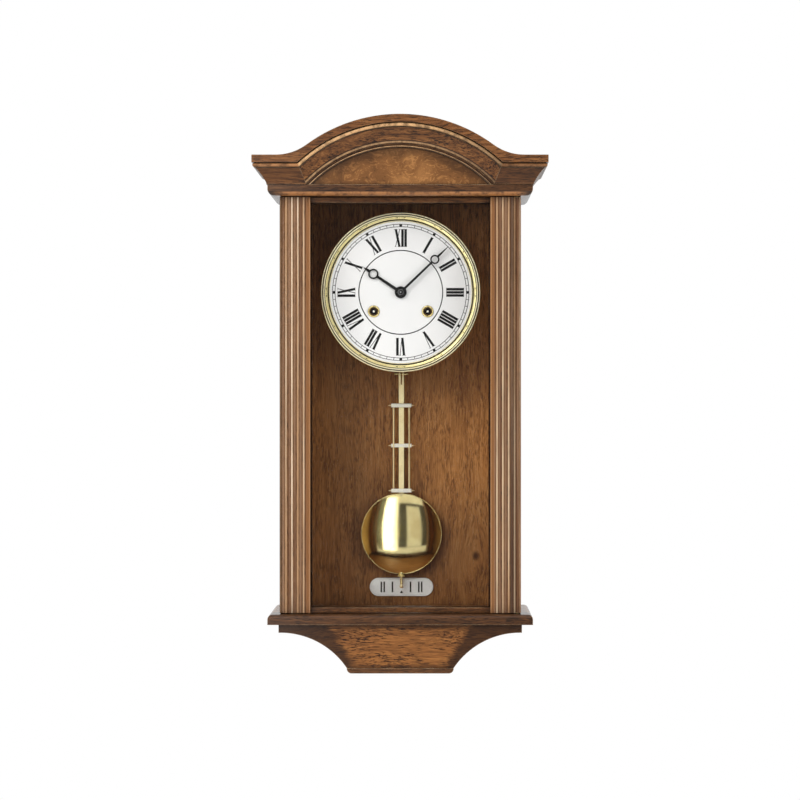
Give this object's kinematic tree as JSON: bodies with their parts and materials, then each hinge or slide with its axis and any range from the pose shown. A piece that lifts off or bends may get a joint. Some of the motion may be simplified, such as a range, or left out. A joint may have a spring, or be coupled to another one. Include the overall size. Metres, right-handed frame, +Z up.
{
  "type": "wall regulator clock",
  "caption": "Wooden wall regulator clock: arched crown, fluted glazed door, round brass-rimmed dial with Roman hours, striking movement and a brass bob pendulum over a coved apron.",
  "frame": {"origin": "centre of the round entry of the hanger's keyhole, on the wall plane", "axes": "+Z up along the clock's height, -Y out of the wall towards the viewer, +X to the viewer's right"},
  "size_m": [0.35, 0.17, 0.6615],
  "materials": {
    "walnut": "satin walnut stain",
    "walnut_back": "satin walnut stain",
    "burl": "satin burl veneer",
    "raw_wood": "unstained, seen only from behind",
    "glass": "clear flat glass",
    "polished_brass": "polished and lacquered",
    "satin_brass": "brushed and lacquered",
    "steel": "fine brushed",
    "dark_steel": "blued and oiled",
    "silvered_plate": "satin, silver colour",
    "enamel_white": "satin white",
    "hand_black": "gloss black"
  },
  "bodies": {
    "case": {"back_panel": "walnut_back", "side_panels": "walnut", "top_board": "walnut", "base_moulding": "walnut", "shelf_board": "walnut", "pediment_board": "walnut", "arch_moulding": "walnut", "cornice_mouldings": "walnut", "burl_panel": "burl", "crown_roof": "raw_wood", "crown_blocks": "raw_wood", "apron_front": "walnut", "apron_sides": "walnut", "apron_foot": "walnut", "hanger_plate": "steel", "beat_plate": "silvered_plate", "pivot_bushes": "polished_brass", "catch_magnet": "dark_steel", "dial_plate": "enamel_white", "dial_bezel": "polished_brass", "winding_grommets": "polished_brass", "dial_feet": "satin_brass", "front_plate": "satin_brass", "back_plate": "satin_brass", "plate_pillars": "satin_brass", "movement_posts": "steel", "suspension_cock": "satin_brass", "coil_gong": "dark_steel"},
    "door": {"door_stile_left": "walnut", "door_stile_right": "walnut", "door_rails": "walnut", "door_glass": "glass", "glass_stops": "walnut", "door_pivots": "polished_brass", "catch_plate": "steel"},
    "centre": {"centre_wheel": "satin_brass", "cannon_pinion": "steel", "minute_hand": "hand_black", "hand_nut": "hand_black"},
    "hour": {"hour_wheel": "satin_brass", "hour_hand": "hand_black"},
    "minute_wheel": {"minute_wheel": "satin_brass"},
    "intermediate": {"intermediate_wheel": "satin_brass"},
    "time_barrel": {"time_barrel": "satin_brass"},
    "third": {"third_wheel": "satin_brass"},
    "escape": {"escape_wheel": "satin_brass"},
    "time_winding": {"time_winding_arbor": "steel"},
    "time_click": {"time_click": "steel"},
    "strike_second": {"strike_second_wheel": "satin_brass"},
    "strike_barrel": {"strike_barrel": "satin_brass"},
    "strike_third": {"strike_third_wheel": "satin_brass"},
    "fly": {"fly": "satin_brass"},
    "strike_winding": {"strike_winding_arbor": "steel"},
    "strike_click": {"strike_click": "steel"},
    "pendulum": {"suspension_leader": "satin_brass", "pendulum_rod": "polished_brass"},
    "bob": {"pendulum_bob": "polished_brass"},
    "rating_nut": {"rating_nut": "polished_brass"},
    "anchor": {"anchor": "steel"},
    "hammer": {"gong_hammer": "steel"}
  },
  "joints": [
    {"name": "door_swing", "type": "hinge", "parent": "case", "child": "door", "pos_m": [0.1387, -0.1237, -0.4765], "axis": [0, 0, 1], "range_deg": [0, 95]},
    {"name": "minute_spin", "type": "hinge", "parent": "case", "child": "centre", "pos_m": [0, -0.06, -0.0921], "axis": [0, 1, 0], "continuous": true},
    {"name": "hour_spin", "type": "hinge", "parent": "case", "child": "hour", "pos_m": [0, -0.06, -0.0921], "axis": [0, 1, 0], "continuous": true},
    {"name": "minute_wheel_spin", "type": "hinge", "parent": "case", "child": "minute_wheel", "pos_m": [0, -0.06, -0.0801], "axis": [0, 1, 0], "continuous": true},
    {"name": "intermediate_spin", "type": "hinge", "parent": "case", "child": "intermediate", "pos_m": [0.02099, -0.06, -0.09268], "axis": [0, 1, 0], "continuous": true},
    {"name": "time_barrel_spin", "type": "hinge", "parent": "case", "child": "time_barrel", "pos_m": [0.0325, -0.06, -0.1151], "axis": [0, 1, 0], "continuous": true},
    {"name": "third_spin", "type": "hinge", "parent": "case", "child": "third", "pos_m": [0.00609, -0.06, -0.07326], "axis": [0, 1, 0], "continuous": true},
    {"name": "escape_spin", "type": "hinge", "parent": "case", "child": "escape", "pos_m": [0, -0.06, -0.0611], "axis": [0, 1, 0], "continuous": true},
    {"name": "time_wind", "type": "hinge", "parent": "case", "child": "time_winding", "pos_m": [0.0325, -0.06, -0.1151], "axis": [0, 1, 0], "continuous": true},
    {"name": "time_click_lift", "type": "hinge", "parent": "case", "child": "time_click", "pos_m": [0.0405, -0.085, -0.12896], "axis": [0, -1, 0], "range_deg": [0, 10], "stiffness_Nm_per_rad": 0.0005, "springref_deg": -2.86},
    {"name": "strike_spin", "type": "hinge", "parent": "case", "child": "strike_second", "pos_m": [-0.03688, -0.06, -0.09028], "axis": [0, 1, 0], "continuous": true},
    {"name": "strike_barrel_spin", "type": "hinge", "parent": "case", "child": "strike_barrel", "pos_m": [-0.0325, -0.06, -0.1151], "axis": [0, 1, 0], "continuous": true},
    {"name": "strike_third_spin", "type": "hinge", "parent": "case", "child": "strike_third", "pos_m": [-0.03384, -0.06, -0.07305], "axis": [0, 1, 0], "continuous": true},
    {"name": "fly_spin", "type": "hinge", "parent": "case", "child": "fly", "pos_m": [-0.02664, -0.06, -0.06058], "axis": [0, 1, 0], "continuous": true},
    {"name": "strike_wind", "type": "hinge", "parent": "case", "child": "strike_winding", "pos_m": [-0.0325, -0.06, -0.1151], "axis": [0, 1, 0], "continuous": true},
    {"name": "strike_click_lift", "type": "hinge", "parent": "case", "child": "strike_click", "pos_m": [-0.0245, -0.085, -0.12896], "axis": [0, -1, 0], "range_deg": [0, 10], "stiffness_Nm_per_rad": 0.0005, "springref_deg": -2.86},
    {"name": "pendulum_swing", "type": "hinge", "parent": "case", "child": "pendulum", "pos_m": [0, -0.024, -0.0461], "axis": [0, 1, 0], "range_deg": [-3.5, 3.5]},
    {"name": "bob_slide", "type": "slide", "parent": "pendulum", "child": "bob", "axis": [0, 0, 1], "range_m": [-0.008, 0.0005]},
    {"name": "rating_nut_turn", "type": "hinge", "parent": "bob", "child": "rating_nut", "pos_m": [0, -0.024, -0.4369], "axis": [0, 0, 1], "range_deg": [-4120, 260]},
    {"name": "anchor_rock", "type": "hinge", "parent": "case", "child": "anchor", "pos_m": [0, -0.06, -0.0461], "axis": [0, 1, 0], "range_deg": [-3.5, 3.5]},
    {"name": "hammer_lift", "type": "hinge", "parent": "case", "child": "hammer", "pos_m": [-0.052, -0.06, -0.0621], "axis": [0, 1, 0], "range_deg": [0, 12]}
  ],
  "couplings": [
    {"joint": "hour_spin", "follows": "minute_spin", "ratio": 0.083333},
    {"joint": "minute_wheel_spin", "follows": "minute_spin", "ratio": -0.33333},
    {"joint": "intermediate_spin", "follows": "minute_spin", "ratio": -0.16667},
    {"joint": "time_barrel_spin", "follows": "minute_spin", "ratio": 0.027778},
    {"joint": "third_spin", "follows": "minute_spin", "ratio": -10},
    {"joint": "escape_spin", "follows": "minute_spin", "ratio": 75},
    {"joint": "strike_barrel_spin", "follows": "strike_spin", "ratio": -0.16667},
    {"joint": "strike_third_spin", "follows": "strike_spin", "ratio": -6},
    {"joint": "fly_spin", "follows": "strike_spin", "ratio": 42},
    {"joint": "anchor_rock", "follows": "pendulum_swing", "ratio": 1},
    {"joint": "rating_nut_turn", "follows": "bob_slide", "rad_per_m": 8976}
  ]
}
